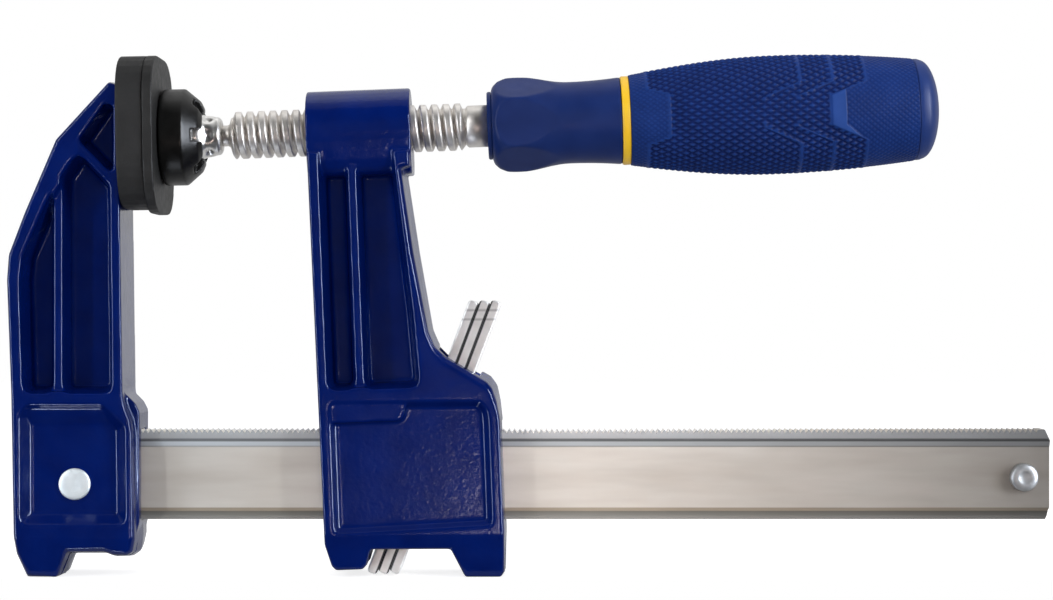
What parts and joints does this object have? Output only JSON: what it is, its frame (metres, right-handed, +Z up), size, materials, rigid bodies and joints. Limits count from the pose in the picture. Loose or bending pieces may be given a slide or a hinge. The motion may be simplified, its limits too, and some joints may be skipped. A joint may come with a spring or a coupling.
{
  "type": "quick release bar clamp",
  "caption": "Bar clamp with a fixed jaw, a sliding jaw locked by leaning clutch plates, and a screw handle that drives a swivel pad.",
  "frame": {"origin": "centre of the bounding box in X and Y, on the surface that the jaws' feet stand on", "axes": "+X along the bar towards the handle end, +Y from front to back, +Z up"},
  "size_m": [0.2722, 0.039, 0.1365],
  "materials": {
    "bar_steel": "drawn steel, satin",
    "jaw_paint": "gloss dark blue enamel on cast iron",
    "zinc_rivet": "zinc plated",
    "stop_steel": "turned steel",
    "clutch_steel": "zinc plated, hardened",
    "spring_steel": "spring wire",
    "screw_steel": "bright zinc plated, rolled thread",
    "collar_steel": "bright plated, crimped",
    "socket_plastic": "satin black moulding",
    "pad_plastic": "matt dark grey moulding",
    "pad_rubber": "matt soft face",
    "front_plastic": "satin dark blue moulding",
    "ring_plastic": "yellow moulding",
    "grip_plastic": "textured dark blue soft moulding"
  },
  "bodies": {
    "frame": {"bar": "bar_steel", "fixed_jaw": "jaw_paint", "jaw_rivet": "zinc_rivet", "end_stop_pin": "stop_steel"},
    "slider": {"sliding_jaw": "jaw_paint", "clutch_spring": "spring_steel"},
    "clutch_1": {"clutch_plate_1": "clutch_steel"},
    "clutch_2": {"clutch_plate_2": "clutch_steel"},
    "clutch_3": {"clutch_plate_3": "clutch_steel"},
    "swivel": {"swivel_ball": "collar_steel"},
    "socket": {"pad_socket": "socket_plastic", "socket_snap_ring": "spring_steel"},
    "pad": {"pad_plate": "pad_plastic", "pad_face": "pad_rubber"},
    "screw": {"spindle": "screw_steel", "handle_washer": "front_plastic", "handle_core": "front_plastic", "handle_roll_pin": "spring_steel", "accent_ring": "ring_plastic", "handle_grip": "grip_plastic", "handle_end_cap": "grip_plastic"}
  },
  "joints": [
    {"name": "jaw_slide", "type": "slide", "parent": "frame", "child": "slider", "axis": [1, 0, 0], "range_m": [0, 0.1319]},
    {"name": "screw_travel", "type": "slide", "parent": "slider", "child": "swivel", "axis": [0.9993, 0, 0.0384], "range_m": [0, 0.02576]},
    {"name": "screw_turn", "type": "hinge", "parent": "swivel", "child": "screw", "pos_m": [-0.08827, 0, 0.11471], "axis": [0.9993, 0, 0.0384], "range_deg": [0, 3061]},
    {"name": "pad_tilt", "type": "hinge", "parent": "swivel", "child": "socket", "pos_m": [-0.08827, 0, 0.11471], "axis": [0, 1, 0], "range_deg": [-0.6, 0.5]},
    {"name": "pad_spin", "type": "hinge", "parent": "socket", "child": "pad", "pos_m": [-0.08827, 0, 0.11471], "axis": [0.9998, 0, 0.0192], "continuous": true},
    {"name": "clutch_release_1", "type": "hinge", "parent": "slider", "child": "clutch_1", "pos_m": [-0.02787, 0, 0.03993], "axis": [0, -1, 0], "range_deg": [0, 8], "stiffness_Nm_per_rad": 0.2, "springref_deg": -14.32, "deforming": ["clutch_spring"]},
    {"name": "clutch_release_2", "type": "hinge", "parent": "slider", "child": "clutch_2", "pos_m": [-0.0249, 0, 0.03993], "axis": [0, -1, 0], "range_deg": [0, 8], "stiffness_Nm_per_rad": 0.2, "springref_deg": -14.32},
    {"name": "clutch_release_3", "type": "hinge", "parent": "slider", "child": "clutch_3", "pos_m": [-0.02193, 0, 0.03993], "axis": [0, -1, 0], "range_deg": [0, 8], "stiffness_Nm_per_rad": 0.2, "springref_deg": -14.32}
  ],
  "couplings": [
    {"joint": "screw_turn", "follows": "screw_travel", "rad_per_m": 2073.7},
    {"joint": "clutch_release_2", "follows": "clutch_release_1", "ratio": 1},
    {"joint": "clutch_release_3", "follows": "clutch_release_1", "ratio": 1}
  ]
}
